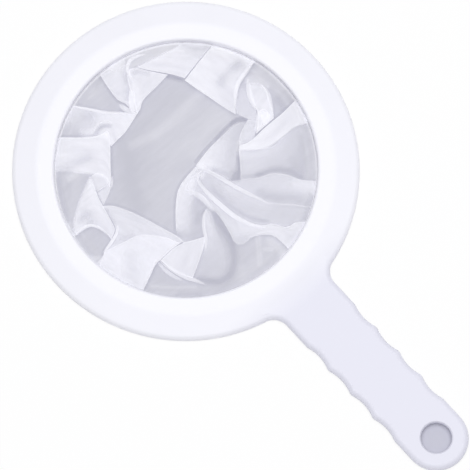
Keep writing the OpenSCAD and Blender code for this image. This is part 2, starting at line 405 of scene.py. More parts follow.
def bunched(lines, x, y):
    """How much gathers (+) and taut places (-) change the layers; taut places are partly taut
    cloth and partly painted shade.

    Each line is its points, its half width in mm and its gain.
    """
    change = np.zeros(x.shape)
    for points, half, gain in lines:
        change += gain * share_near(points, half, x, y)
    return change


off = np.array([0.0, 1.0, 2.0])
print("a gather at 0, 1 and 2 mm:", share_near([(0, 0), (0, 9)], 1, off, 0 * off + 3).round(2))

# %% The room that the mouldings leave for the net
patches = []
NET_R = 56.1  # all radii and heights here are in mm
MOUTH_R = 54.8
LIP_R = 54.0
SLOT_LOW, SLOT_HIGH = 1.3, 1.42
LOWEST = 0.3
RISE, SINK = 2.0, 1.2  # how steeply the room opens up and down, further in than the slot
PATCH_STEP = 0.0065
PRESSED_FROM, PRESSED_SHARE = 2.6, 0.64


def keep_clear(x, y, z):
    """Keeps a height inside the slot near the ring, and above the floor elsewhere.

    Later patches pass the slot a little higher, so that no two of them coincide.
    The upper laps are pressed together, so that the net stays below the ring's crown.
    """
    r = np.hypot(x, y)
    z = np.where(z > PRESSED_FROM, PRESSED_FROM + (z - PRESSED_FROM) * PRESSED_SHARE, z)
    top = SLOT_HIGH + PATCH_STEP * len(patches) + np.clip(MOUTH_R - r, 0, 5) * RISE
    low = np.where(r > LIP_R, SLOT_LOW, np.maximum(SLOT_LOW - (LIP_R - r) * SINK, LOWEST))
    return np.clip(z, low, top)


radii = np.array([40.0, 54.0, NET_R])
print("lowest at r 40, 54 and 56:", keep_clear(radii, 0 * radii, 0 * radii).round(2))

# %% The lie of the bottom sheet
CLEARANCE, LEVEL_STEP, LIFT_STEP = 0.35, 0.8, 0.35


def ease(t):
    """0 up to 0, 1 from 1, and a soft curve between."""
    t = np.clip(t, 0, 1)
    return t * t * (3 - 2 * t)


def soft_waves(x, y, along_x, along_y, seed):
    """Smooth noise with its own pitch in each direction."""
    return np.array([noise.noise(Vector((a * along_x, b * along_y, seed)))
                     for a, b in zip(x.ravel(), y.ravel())]).reshape(x.shape)


def sheet_height(x, y):
    """Height of the bottom sheet: low in the middle, bulging up before it enters the slot."""
    r = np.hypot(x, y)
    lying = 0.7 + 0.3 * soft_waves(x, y, 0.09, 0.09, 3.1)
    climb = 0.95 * ease((r - 44) / 12) ** 2
    bulge = 1.4 * np.exp(-((r - 52.4) / 2) ** 2)
    return lying + climb + bulge


def stacked(x, y, level, lift):
    """Middle height of a fold that lies on the bottom sheet, or on other folds below it."""
    return sheet_height(x, y) + CLEARANCE + LEVEL_STEP * level + LIFT_STEP * lift


print("sheet at r 40, 54 and 56:", sheet_height(radii, 0 * radii).round(2))

# %% [markdown]
# ### Laps
# A lap is where the cloth is folded back, so it has an upper and a lower
# layer that meet in a rolled edge. Its outline has four sides, each of a kind:
# a rolled fold, a soft side where it fades into its neighbour, or a side that
# runs under the ring. The inside is filled from the four sides, and the two
# layers part by the lap's lift. Beside a fold the cloth below is thinned, so a
# fine dark line of painted shade falls beside the fold.

# %% Fill a four-sided outline
EVEN, CROWDED = 0.35, 0.65  # shares of even steps and of steps that crowd at a rolled fold


def spread(first, last, cells):
    """Fractions from one side to the opposite one, closer together at a rolled fold."""
    t = np.linspace(0, 1, cells + 1)
    if first == "fold" and last == "fold":
        bent = 0.5 - 0.5 * np.cos(np.pi * t)
    elif first == "fold":
        bent = 1 - np.cos(np.pi * t / 2)
    elif last == "fold":
        bent = np.sin(np.pi * t / 2)
    else:
        bent = t
    return EVEN * t + CROWDED * bent


def filled(south, east, north, west, u, v):
    """A grid between four lines. Each point is mixed from the sides that it lies between."""
    U, V = u[:, None, None], v[None, :, None]
    return ((1 - V) * south[:, None] + V * north[:, None] + (1 - U) * west[None] + U * east[None]
            - (1 - U) * (1 - V) * south[0] - U * (1 - V) * south[-1]
            - (1 - U) * V * north[0] - U * V * north[-1])


def across(grid):
    """How far each point of a grid is from the west side, and from the south side."""
    row = np.linalg.norm(np.diff(grid, axis=0), axis=2)
    col = np.linalg.norm(np.diff(grid, axis=1), axis=2)
    from_west = np.vstack([np.zeros(row.shape[1]), np.cumsum(row, axis=0)])
    from_south = np.hstack([np.zeros((col.shape[0], 1)), np.cumsum(col, axis=1)])
    return from_west, from_south


print("spread from a fold to a soft side:", spread("fold", "soft", 4).round(2))

# %% Paint shade beside a fold
FOLD_SHADE_STEP, FOLD_SHADE_HALF = 0.5, 0.55  # mm outside the fold, and half width
FOLD_SHADE_POINTS = 24
painted_fold_shadows = []


def outward(line, centre, step):
    """A line moved away from a centre by a step."""
    ahead = np.gradient(line, axis=0)
    side = np.column_stack([ahead[:, 1], -ahead[:, 0]])
    side /= np.maximum(np.linalg.norm(side, axis=1), 1e-9)[:, None]
    away = np.sign(np.sum(side * (line - centre), axis=1).sum())
    return line + side * away * step


def shade_beside_fold(edge, centre, fold_shade):
    """Notes a line of painted shade just outside a fold, for the bottom sheet, which is thinned
    there.
    """
    line = along(edge, np.linspace(0, 1, FOLD_SHADE_POINTS))
    painted_fold_shadows.append((outward(line, centre, FOLD_SHADE_STEP), FOLD_SHADE_HALF, -fold_shade))


corner = outward(np.array([(0, 5), (5, 5), (5, 0)], float), np.zeros(2), 1)
print("a corner moved out by 1 mm:", corner.round(1).tolist())

# %% Make a lap
PARTING = 0.7  # mm between the two layers, for a lift of 1
ROLL = 1.0  # mm from a fold's edge to where its two layers are fully parted
SOFT_WIDTH = 4
EDGE_GAIN, EDGE_WIDTH = 0.35, 0.5
WAVE_ALONG, WAVE_ACROSS = 0.1, 0.35
WAVE_LAYERS, WAVE_HEIGHT = 0.3, 0.25
BUNCH_HEIGHT = 0.5
THINNEST = 0.05


def corner_layers(layers, u, v):
    """The number of layers, mixed smoothly from the four corners of a lap."""
    d = layers if isinstance(layers, tuple) else (layers,) * 4
    u, v = ease(u)[:, None], ease(v)[None]
    return (1 - u) * (1 - v) * d[0] + u * (1 - v) * d[1] + u * v * d[2] + (1 - u) * v * d[3]


def lap(sides, kinds, layers, level=0, lift=1.0, creases=(), cells=30, fade=5, fold_shade=0.35):
    """Two layers over a four-sided outline. Each side ends where the next begins.

    layers is what each surface stands for, at the start of each side. level is
    how many laps lie below, lift parts the two surfaces, and fade is the width
    of a soft side in mm.
    """
    closed = [list(side) + [sides[(i + 1) % 4][0]] for i, side in enumerate(sides)]
    kind = kinds.split()
    centre = np.mean([side[0] for side in sides], axis=0)
    # each rolled fold leaves a line of painted shade on the bottom sheet
    for side, edge in zip(kind, closed):
        if side == "fold" and fold_shade:
            shade_beside_fold(edge, centre, fold_shade)
    u, v = spread(kind[3], kind[1], cells), spread(kind[0], kind[2], cells)
    south, north = along(closed[0], u), along(closed[2][::-1], u)
    west, east = along(closed[3][::-1], v), along(closed[1], v)
    grid = filled(south, east, north, west, u, v)
    x, y = grid[..., 0], grid[..., 1]
    from_west, from_south = across(grid)
    to_east, to_north = from_west[-1] - from_west, from_south[:, -1:] - from_south
    gap = np.full(x.shape, PARTING * lift)
    count = corner_layers(layers, u, v)
    for side, s in zip(kind, [from_south, to_east, to_north, from_west]):
        if side == "fold":
            gap = gap * np.sqrt(1 - (1 - np.clip(s / ROLL, 0, 1)) ** 2)
            count = count * (1 + EDGE_GAIN * np.exp(-(s / EDGE_WIDTH) ** 2))
        elif side == "soft":
            gap = gap * ease(s / SOFT_WIDTH)
            count = count * ease(s / fade)
    waves = soft_waves(from_west, from_south, WAVE_ALONG, WAVE_ACROSS, level + x[0, 0])
    bunch = bunched(creases, x, y)
    count = count * np.maximum(1 + bunch + WAVE_LAYERS * waves, THINNEST)
    middle = stacked(x, y, level, lift) + BUNCH_HEIGHT * bunch + WAVE_HEIGHT * waves
    for up in (1, -1):
        z = keep_clear(x, y, middle + up * gap / 2)
        patches.append((x, y, z, count, from_west, from_south, up < 0))


def ring_at(*angles):
    """Points where a side runs under the ring."""
    return [(NET_R * math.cos(math.radians(a)), NET_R * math.sin(math.radians(a))) for a in angles]


print("a side under the ring starts at", np.round(ring_at(45)[0], 1))

# %% Laps at the lower left
# A wide lap comes in from the ring and ends in a point
lap([ring_at(227, 239, 249.7),
     [(-18.8, -53), (-15.5, -46.5), (-12.5, -40.3), (-9.2, -37), (-5, -33.2)],
     [(-1, -30.4), (-3.8, -28.1), (-9.8, -24.7), (-19.8, -19.2), (-27, -16.2), (-31, -15.2)],
     [(-35.2, -15.4), (-32.4, -19.2), (-30, -23), (-29.3, -26.2), (-30.5, -29.9), (-33.3, -34),
      (-34.8, -37.3)]],
    "ring fold fold fold", 0.9, lift=1.6, cells=36,
    creases=[([(-33.4, -17.6), (-31.3, -21.2), (-29.8, -25)], 1.2, -0.85),
             ([(-33, -32.6), (-28, -30.4), (-22, -27.6)], 1.2, -0.35)])
# The cloth is doubled again over its lower half
lap([ring_at(229, 240, 249.3),
     [(-18.6, -52), (-15.5, -46.3), (-12.7, -40.3), (-9.5, -37.1), (-5.5, -33.4)],
     [(-2.5, -31.2), (-8, -28.8), (-14, -27.7), (-20, -27.9), (-27, -31.3)],
     [(-33.8, -34.7), (-34.9, -38)]],
    "ring fold fold fold", (0.8, 0.7, 1.1, 0.7), level=1, lift=1.2, cells=32, fold_shade=0,
    creases=[([(-29, -36), (-28.4, -40), (-28.6, -44)], 2.0, 0.4),
             ([(-22.5, -37), (-22.5, -42), (-21.5, -47)], 3.6, -0.8)])
# Beside it, along the ring, the cloth bunches up and fades out upwards
lap([[(-47.3, -29.3), (-42, -25.2), (-38, -24), (-34.5, -25.7)],
     [(-31, -29.5), (-29.6, -25.3), (-31.8, -20.5), (-34.5, -15.5)],
     [(-38, -9.3), (-38.4, -5)],
     [(-40.4, -1.6), (-43.2, -8.5), (-45.8, -15.5), (-47.2, -22)]],
    "fold fold soft soft", (1.3, 0.95, 2.1, 1.7), lift=1.4, cells=32, fade=1.8, fold_shade=0.15,
    creases=[([(-43.5, -21.5), (-42, -18), (-40, -22)], 2.3, -0.55),
             ([(-39, -10), (-37, -15), (-34, -22)], 1.8, 0.2)])
# A small knob, and the strip that ties it to the lap below
lap([[(-38.4, -9.2), (-36, -8.6)],
     [(-33.5, -6.8), (-32.1, -4.6), (-33.4, -2.4)],
     [(-36, -0.9), (-38.5, -1.8)],
     [(-40.6, -4), (-39.6, -6.8)]],
    "fold fold fold soft", 1.15, level=1, lift=1.4, cells=18, fade=3, fold_shade=0)
lap([[(-37.8, -9.4), (-36, -12.4)],
     [(-34.6, -15.2), (-32.7, -11.5)],
     [(-31.3, -7.6), (-32.2, -6)],
     [(-34, -6.8), (-36, -8.4)]],
    "soft fold fold soft", 0.9, lift=1.0, cells=14, fade=1, fold_shade=0)
print("laps so far:", len(patches) // 2)

# %% Laps at the left
# A broad flap at the ring, with a rolled edge towards the middle
lap([[(-32, -8), (-34, -4.4), (-37, -2.8), (-40, -2.2), (-45, -1.6), (-50, -1)],
     ring_at(181.2, 174),
     ring_at(165.9) + [(-52.5, 14), (-42, 14), (-38, 14.5), (-35.5, 15.3)],
     [(-33, 16.9), (-31.9, 15), (-31.6, 10), (-31.5, 3), (-31.3, -4)]],
    "soft ring fold fold", 1.4, level=1, lift=1.5, cells=32, fade=1.3, fold_shade=0.45,
    creases=[([(-52, 0), (-46, 2.6), (-41, 5.2)], 2.2, -0.55),
             ([(-36, 11), (-35, 7)], 2.6, 0.2),
             ([(-44, 12), (-36, 12)], 2.0, 0.25)])
# The next one up, which reaches further in
lap([[(-31.2, 10.2), (-34, 13.6), (-38, 13.8), (-45, 13.8)],
     ring_at(166.2, 158),
     ring_at(150.9) + [(-46.5, 27.6), (-40, 26.4), (-34, 25), (-27, 24.6)],
     [(-20.3, 24.4), (-22.8, 20.2), (-25.6, 16), (-28.8, 12.8)]],
    "fold ring fold fold", (1.7, 0.4, 0.9, 2.0), lift=1.3, cells=32, fold_shade=0.2,
    creases=[([(-41, 22), (-46, 20), (-49, 15)], 4.0, -0.7),
             ([(-52.6, 15), (-45.6, 15.2)], 1.8, -0.8),
             ([(-44, 14.6), (-38.5, 14.9)], 0.9, -0.5),
             ([(-37.4, 15.8), (-36, 17.8), (-34, 18.8), (-32, 18.7)], 0.9, -1.0),
             ([(-30.4, 17.4), (-29.4, 13)], 1.3, -0.4)])
print("laps so far:", len(patches) // 2)

# %% Laps at the top left
# A narrow lap runs up to the ring
lap([[(-22.5, 24.4)],
     [(-20, 24.2), (-22, 31), (-24.3, 39), (-25.5, 46)],
     ring_at(117.5, 124),
     ring_at(131) + [(-34, 37.6), (-31, 33.1), (-28.3, 30), (-25, 28.3)]],
    "fold fold ring fold", 1.15, lift=1.5, cells=26,
    creases=[([(-26, 48), (-25.6, 41), (-24.6, 36), (-24.2, 31.5)], 1.7, -0.6)])
# A small one lies beside it
lap([[(-20.4, 24.4), (-19.2, 26.1), (-17.8, 30.2), (-12.8, 35.4)],
     [(-7.6, 40.9), (-15, 42.4)],
     [(-20.8, 44), (-23.6, 43.2)],
     [(-24.7, 40.5), (-23.5, 35), (-21.5, 28)]],
    "fold fold fold fold", 1.25, level=1, lift=1.2, cells=26, fold_shade=0.2,
    creases=[([(-21.4, 36), (-20.4, 32), (-19.8, 27.6)], 1.7, 0.55),
             ([(-21.6, 42.2), (-16, 41.4)], 1.2, -0.5)])
# A longer one lies along the ring
lap([[(-21, 44.3), (-15, 42.8), (-7.3, 41.4)],
     [(-0.6, 39.5), (3.9, 45.3), (8.4, 50.8)],
     ring_at(78, 84),
     ring_at(92) + [(-5, 52.6), (-10, 50), (-15.5, 47.3)]],
    "fold fold ring soft", (1.5, 1.5, 1.2, 1.4), level=1, lift=1.6, cells=30, fade=1.2, fold_shade=0.15,
    creases=[([(-1, 54), (5, 51.6), (10, 51.4)], 2.4, -0.6),
             ([(-5, 42), (-1, 41)], 1.2, -0.25)])
print("laps so far:", len(patches) // 2)

# %% Laps at the top right
# A wide lap with its point towards the middle
lap([[(-0.5, 38.5), (4.6, 34.7), (9.9, 31.1), (15.4, 27.2)],
     [(20.8, 23.9), (20.7, 28), (21.2, 32), (22.2, 36.5), (24.9, 41.3), (28.2, 46)],
     ring_at(57.2, 67),
     ring_at(77.6) + [(8.9, 51), (4.4, 45.2)]],
    "fold fold ring fold", (2.3, 1.2, 1.1, 1.7), level=2, lift=2.0, cells=36, fold_shade=0.2,
    creases=[([(22.2, 45.8), (19.9, 43.9), (17.2, 41.4), (14.2, 37.4)], 2.2, -0.65),
             ([(12, 52), (20, 49.8), (28, 45.6)], 1.9, 0.45)])
# Thin cloth beside it
lap([[(21, 24.6), (25, 22.3)],
     [(29.7, 21.3), (29.1, 26), (27.3, 31)],
     [(26.5, 37), (24.5, 38.5)],
     [(22.8, 37.7), (21.3, 31)]],
    "fold fold soft fold", (0.6, 0.7, 0.5, 0.3), lift=0.8, cells=18, fold_shade=0)
# A narrow, tightly gathered lap
lap([[(29.3, 15.6), (33, 19)],
     [(36.6, 22.2), (36.4, 25), (35.2, 29.5), (33.8, 33.5)],
     [(31.6, 37.5), (28.6, 39)],
     [(26.4, 38.5), (26.6, 33), (28, 28.3), (29.9, 24.5)]],
    "fold fold soft fold", (1.8, 1.6, 1.2, 1.1), level=1, lift=2.0, cells=24, fade=3.5, fold_shade=0.1)
print("laps so far:", len(patches) // 2)

# %% Laps at the right and in the middle
# A band that comes in from the ring
lap([[(22.4, 8.1), (28.5, 8.2), (34.6, 9.4), (40.2, 13.4), (45.9, 18)],
     ring_at(21, 28),
     ring_at(33.6) + [(42.7, 26.8), (39.2, 23.5), (35.8, 20.7), (32.3, 17.6), (28.6, 13.9)],
     [(24.8, 10.8), (22.4, 10.4)]],
    "soft ring fold fold", (1.9, 1.4, 1.1, 2.1), level=2, lift=1.5, cells=30, fade=1.2, fold_shade=0.4,
    creases=[([(47.4, 28), (50.6, 21.5)], 1.5, 0.7)])
# The cloth between its tip and the lap above
lap([[(22, 11), (25.5, 11)],
     [(28.6, 14.3), (29.1, 17)],
     [(29.6, 21.2)],
     [(25.9, 21.8), (22.8, 15.8)]],
    "fold fold fold fold", 0.75, lift=0.8, cells=16, fold_shade=0)
# A taut, very thin part below it
lap([[(23, -4), (26, -3.7), (31, -2.9), (36, -1.1), (42, -1.7), (48, -3.9)],
     ring_at(-4.8, 8),
     ring_at(21.2) + [(45.8, 18), (40.2, 13.7), (34.6, 9.8)],
     [(22.1, 10), (22.4, 4)]],
    "fold ring fold fold", (0.3, 0.03, 0.1, 1.0), lift=1.2, cells=26, fold_shade=0,
    creases=[([(29, -2.3), (32, -1.5), (36, 0), (42, -0.4)], 1.1, -0.6)])
# A triangle of taut cloth across the middle
lap([[(4, 1.9), (8, 0.2), (13, -2)],
     [(18.5, -4.7), (20.5, 2), (21, 8), (22.2, 14)],
     [(24.8, 20.9)],
     [(19.9, 19.4), (14.6, 14.2), (9.3, 8.8)]],
    "fold fold fold fold", (1.6, 0.35, 0.1, 0.4), lift=1.2, cells=28, fold_shade=0.05,
    creases=[([(7, 3), (11, 3.5)], 2.5, 0.15),
             ([(8, 1), (12, 0.6)], 1.3, -0.35),
             ([(12, 0), (16, -1.6), (19, -2.6)], 1.2, -0.7),
             ([(20.6, 0.5), (19.6, -1.5), (18, -4)], 1.3, -0.85)])
print("laps so far:", len(patches) // 2)

# %% Laps at the lower right
# Three long laps fan out from the middle to the ring, each over the one before
lap([[(14, -3.8), (20, -6.9), (28, -10.9), (35, -14.3), (44, -15)],
     ring_at(-17, -11),
     ring_at(-4.9) + [(48, -4.1), (42, -1.9), (36, -1.3), (30, -3.2), (24, -3.9)],
     [(18.5, -4.8)]],
    "fold ring fold fold", (0.6, 0.3, 0.7, 0.5), lift=1.3, cells=30, fold_shade=0.2,
    creases=[([(31, -10), (38, -12), (47, -12.5)], 2.3, -0.9),
             ([(46, -6.4), (53, -7.4)], 2.4, 0.75),
             ([(53.5, -11), (50, -15)], 2.0, -0.6)])
lap([[(6, -4.5), (9, -9), (14, -14), (20, -19), (26, -22), (32, -23.4), (36, -22.6), (42, -24.2),
      (46, -22)],
     ring_at(-22.9, -20),
     ring_at(-16.5) + [(44, -14.5), (35, -14.2), (28, -10.7), (20, -6.7), (12, -2.4)],
     [(8, -0.4), (6, -2)]],
    "fold ring fold fold", (0.3, 0.3, 0.35, 0.5), level=1, lift=1.4, cells=30, fold_shade=0,
    creases=[([(17, -7.5), (24, -11), (34, -15.5)], 1.8, 0.6),
             ([(20, -14), (27, -18), (40, -22)], 1.4, 0.35),
             ([(11, -8), (15, -12), (20, -16.3), (27, -20.4), (34, -22)], 1.1, -0.9),
             ([(53, -15), (50, -20)], 2.2, -0.6)])
lap([[(0, -8), (5, -10.5), (10, -15.4), (14.2, -20), (18, -26.3), (20.5, -31), (23.8, -31.7),
      (27.5, -28.7), (32, -27.5), (36.5, -28), (40.4, -31.2)],
     ring_at(-38.5, -31),
     ring_at(-23) + [(46, -22.2), (42, -24.3), (36, -22.8), (32, -23.6), (26, -22.1), (20, -19),
                     (14, -14), (8.8, -9), (5.6, -5)],
     [(4.8, -1.5), (1.5, -4)]],
    "fold ring fold fold", (0.45, 1.1, 1.5, 0.45), level=2, lift=1.7, cells=36, fold_shade=0.1,
    creases=[([(18.5, -31), (25, -31)], 2.6, -0.6),
             ([(36.5, -23.4), (40, -24.2), (43, -25.4)], 0.5, -0.4),
             ([(50, -21), (46.6, -28)], 2.0, -0.35)])
print("laps so far:", len(patches) // 2)

# %% Laps at the bottom
# An upright lap below the middle
lap([[(-4, -28), (0, -31)],
     [(8, -28), (5.6, -22), (4.4, -16), (5.2, -10), (5.8, -5)],
     [(5.4, 2.8), (1, -2)],
     [(-2, -5.8), (-3.6, -10), (-4.3, -17)]],
    "fold soft fold fold", (1.0, 0.1, 1.1, 1.6), level=1, lift=1.6, cells=26, fold_shade=0.45,
    creases=[([(4.2, -27), (4.6, -22), (5.8, -17.6)], 1.9, -0.55),
             ([(-3, -27.6), (1, -28), (6, -26)], 3.0, -0.95)])
# A kite-shaped one below that
lap([[(2.8, -46.2), (4.9, -40.5), (7.2, -33.6)],
     [(8.2, -28.2), (3.5, -29.8)],
     [(-1, -31), (-5, -33.3)],
     [(-10.5, -38.4), (-4.8, -43.3)]],
    "fold fold fold fold", (0.85, 1.3, 1.3, 1.3), level=1, lift=1.4, cells=24, fold_shade=0.3)
# A soft one to the right of both
lap([[(3.4, -46), (9.4, -47)],
     [(15, -46), (17.6, -42), (17.8, -37), (16.2, -31), (13.4, -25), (11.8, -19)],
     [(9.8, -15.8)],
     [(8.8, -16.4), (7.4, -18.8), (7.4, -24), (8, -29), (5.9, -36.5)]],
    "soft soft fold fold", (0.12, 0.15, 0.55, 0.65), lift=1.6, cells=26, fade=2.5, fold_shade=0.1,
    creases=[([(9, -22), (10, -27), (9, -34)], 1.8, 0.4)])
print("laps:", len(patches) // 2)

# %% [markdown]
# ### Pleats
# A pleat is a fold too narrow to show its two layers, like a crease in a
# handkerchief. A lap could make one, but four sides are more than it needs, so
# a pleat has a line, a width and a height, and closes at both ends.

# %% Make a pleat
PLEAT_CELLS, PLEAT_CELLS_ACROSS = 40, 8
PLEAT_ENDS = 0.002, 0.998


def pleat(points, width, layers, level=1, height=1.0):
    """A narrow raised fold along a line, closed and thinning at both ends."""
    u = np.linspace(0, 1, PLEAT_CELLS + 1)
    line = along(points, u)
    ahead = np.gradient(line, axis=0)
    ahead /= np.linalg.norm(ahead, axis=1)[:, None]
    sideways = np.column_stack([-ahead[:, 1], ahead[:, 0]])
    taper = np.sqrt(np.sin(np.pi * np.clip(u, *PLEAT_ENDS)))[:, None]
    v = -np.cos(np.linspace(0, np.pi, PLEAT_CELLS_ACROSS + 1))[None]
    x = line[:, :1] + sideways[:, :1] * v * taper * width / 2
    y = line[:, 1:] + sideways[:, 1:] * v * taper * width / 2
    gap = PARTING * height * taper * np.sqrt(np.clip(1 - v * v, 0, 1))
    count = layers * taper * np.ones(x.shape)
    middle = stacked(x, y, level, height)
    length = np.linalg.norm(np.diff(line, axis=0), axis=1).sum()
    lengthwise = (u * length)[:, None] * np.ones(x.shape)
    crosswise = v * width / 2 * np.ones(x.shape)
    for up in (1, -1):
        z = keep_clear(x, y, middle + up * gap / 2)
        patches.append((x, y, z, count, lengthwise, crosswise, up < 0))


first_pleat = len(patches)
print("a pleat has", 2 * PLEAT_CELLS * PLEAT_CELLS_ACROSS, "faces")

# %% Pleats in the upper part
pleat([(-16.5, 49.5), (-20, 49), (-23, 47.4), (-24.4, 45), (-24.2, 42), (-22.8, 39.5),
       (-21.6, 38)], 1.5, 1.6, 2, 1.6)
pleat([(29, 47.6), (25.1, 42.2), (21.7, 37.2), (20.6, 32), (20.7, 26)], 1.9, 1.0, 4)
pleat([(30.2, 26), (29.8, 21), (29.4, 16)], 1.3, 1.0, 2)
pleat([(25.8, 39.5), (26.4, 33.5), (28.1, 28.5), (30.2, 25.4)], 2.2, 1.2, 2)
pleat([(-22.9, 35), (-22.6, 31), (-22.4, 28), (-21.4, 24.8)], 2.8, 1.4, 3)
pleat([(-28, 28.2), (-25, 26), (-21.6, 24.6)], 2.0, 1.1, 2)
pleat([(31, 36.8), (33.9, 33.5), (35.4, 28.5), (36.3, 23.5)], 1.5, 1.0, 3)
pleat([(31, 26), (33, 22.5), (32.5, 19)], 4.2, 1.4, 3)
print("pleats so far:", (len(patches) - first_pleat) // 2)

# %% Pleats at the left and in the lower part
pleat([(-39.2, 15.6), (-38, 18.2), (-36, 20.2), (-33.5, 20.9), (-31, 20.2)], 1.0, 0.5, 3)
pleat([(-49.8, 28.6), (-46, 27.2), (-40, 26), (-34, 24.8), (-27, 24.5),
       (-21.4, 24.2)], 1.2, 0.9, 3)
pleat([(-46.6, -28.8), (-43.9, -25.4), (-40.3, -23.6), (-37.2, -24.1), (-34.4, -25.8),
       (-32, -28.2)], 1.1, 1.2, 3)
pleat([(-28.2, -23), (-28.9, -27), (-31.3, -31.2), (-34.5, -35.6)], 1.3, 1.8, 2)
pleat([(-11.6, -37.8), (-6.2, -42), (-0.4, -45.4), (4, -47), (8.4, -48.8)], 1.9, 1.25, 1)
pleat([(-12, -38.8), (-8.6, -42.6), (-5, -45.2), (-1, -47.4)], 1.6, 0.8, 0)
pleat([(4.9, -0.4), (5.2, -4.4), (8.7, -9.4), (14.7, -15.1), (20.6, -19.9), (27.2, -23.2),
       (34, -24.6)], 1.9, 1.2, 4, 1.4)
pleat([(5.4, -5.8), (5, -3.2), (5.4, -1.2), (7.4, -0.1), (10, -0.8), (14.6, -3.4), (20, -6.8),
       (28, -11), (36, -15)], 1.5, 1.0, 3)
pleat([(4, 0.4), (6, 1.4), (8.6, 0.8)], 2.2, 1.2, 2)
pleat([(-0.2, -8.8), (4.6, -10.4), (8.2, -13.4), (11.8, -17.8)], 2.2, 0.9, 3)
pleat([(-31.2, -2.4), (-30.8, -5), (-31.4, -8.2)], 1.0, 0.9, 2)
pleat([(8.6, -16.4), (7.4, -20), (7.5, -25), (8.4, -30), (8, -35.4)], 1.3, 1.0, 2)
print("pleats:", (len(patches) - first_pleat) // 2)

# %% [markdown]
# ### The bottom sheet
# Below the laps lies one sheet that covers the whole opening. It is gathered
# in soft ridges in some places, and pulled taut and thinner in others. The
# widest taut places stand in for deep valleys: they are not lowered, only
# thinned, so that the floor's painted shade shows dark through the mesh as
# painted shade. A plain flat disc would leave the laps lying on nothing that
# looks like cloth.

# %% Where the bottom sheet is gathered, or taut and thinned as painted shade
GATHERS = [
    ([(6, 33), (0, 27), (-6, 21.5), (-13, 15.5), (-23, 11.3)], 2.3, 0.5),
    ([(2, 13), (-5, 5.5), (-11, -1), (-17, -7)], 2.2, 0.13),
    ([(10, 24), (2, 14), (-4, -4), (-9, -18)], 9.0, 0.2),
    ([(-46, -3), (-46.5, -12), (-47, -22)], 2.4, 0.3),
    ([(-53.6, -4), (-52, -14), (-48.8, -23)], 1.2, -0.3),
    ([(-50, -5), (-49, -12), (-46, -20)], 3.0, -0.12),
    ([(-49, -3.4), (-45, -1.2), (-40, 0)], 1.6, 0.7),
    ([(-30, 44), (-24, 49), (-15, 52.2), (-5, 54.2)], 2.6, 1.2),
    ([(-24, 44.5), (-16, 48), (-8, 51.5)], 1.6, 0.6),
    ([(33, -36), (30, -40)], 9.0, 0.3),
    ([(30, -28), (30.4, -34), (30.8, -40)], 1.2, 0.4),
    ([(32.5, -33.6), (36, -33.9)], 0.8, 0.4),
    ([(23, -42), (24, -46)], 2.2, 0.25),
    ([(-14, -49.8), (-6, -50.2), (4, -50.0)], 0.8, 0.35),
    ([(-12, -52), (-4, -52.2)], 0.7, 0.25),
    ([(-4, -53.4), (6, -53)], 0.8, -0.25),
    ([(16, 22), (9, 16), (3, 8)], 3.0, 0.3),
    ([(31, -1.9), (34, -0.6), (37, 0.4), (42, -0.1), (48, -2.8)], 1.4, -0.7),
    ([(24, -2.9), (27.5, -2.6), (30.5, -1.8)], 1.0, -0.5),
    ([(-38, -37.6), (-35, -38.2)], 1.1, 0.9),
    ([(-49, -23.5), (-47.6, -28)], 1.3, 0.7),
    ([(12, 24), (0, 14), (-10, 9)], 6.0, 0.22),
    ([(-24, 10), (-23, -4), (-20, -16)], 4.0, -0.24),
    ([(48.5, 14), (48, 6), (48.5, 0)], 1.8, -0.3),
    ([(53, 10), (53.8, 0), (53, -9)], 1.3, 0.2),
    ([(26, 38.5), (30, 39), (33.5, 36.5)], 1.6, 0.8),
    ([(-27, 12), (-18, 15)], 2.5, -0.15),
    ([(35.5, -30.5), (39.5, -34), (41, -37)], 2.0, 0.7),
    ([(30, 42), (36, 40), (40, 36)], 2.2, 0.4),
    ([(-40, 34), (-36, 30)], 3.5, 0.3),
    ([(-44, 21), (-46, 23)], 4.0, 0.2),
    ([(25, 21.75), (21.85, 21.85), (17.6, 18.95), (12, 12.85)], 0.8, -0.95),
    ([(10.7, 11.7), (7.5, 8.2), (4.1, 3.8)], 0.65, -0.7),
    ([(-8, 40.3), (-4, 39.4), (-2, 38.8)], 1.0, -0.85),
    ([(22.2, 5.5), (22.2, 0), (21.6, -4.2)], 0.85, -0.92),
    ([(20.6, -1.5), (19.6, -4.2)], 1.1, -0.7),
    ([(4.6, -0.4), (6.2, -1.8)], 1.4, 1.3),
    ([(0, 39.2), (4.6, 45)], 0.8, 0.4),
    ([(22, 8.6), (22.3, 12)], 0.8, 0.9),
    ([(44.5, 4.4), (45, 0.8)], 1.6, -0.35),
    ([(38.5, 30), (41, 26)], 1.8, -0.4),
    ([(24.5, 21.4), (21.2, 21.4), (19, 19.9)], 1.0, -0.6),
    ([(50, -7), (54, -8)], 2.0, 0.3),
    ([(2, 28), (-5, 20), (-12, 14.5)], 3.0, 0.15),
    ([(-6, -4), (-12, -12)], 4.0, 0.12),
    ([(53, -12), (51, -19), (47, -27)], 1.8, -0.35),
    ([(4.6, -22), (5.4, -19.4), (7.4, -17.6)], 1.5, -0.35),
    ([(11.8, -19.6), (14.2, -23), (17.4, -28.2), (19.5, -33), (20.2, -38.5), (18.8, -44),
      (13.8, -47.6), (6, -46.8)], 1.8, -0.68),
]
print("gathers:", sum(gain > 0 for _, _, gain in GATHERS), "of", len(GATHERS), "lines")

# %% Make the bottom sheet
SHEET_CELLS = 196
SHEET_TURN = 0.68  # the knit runs at its own angle, in radians
RIDGE = 1.6
HEM_R, HEM_GAIN = 52.8, 0.3
SHEET_THINNEST = 0.08


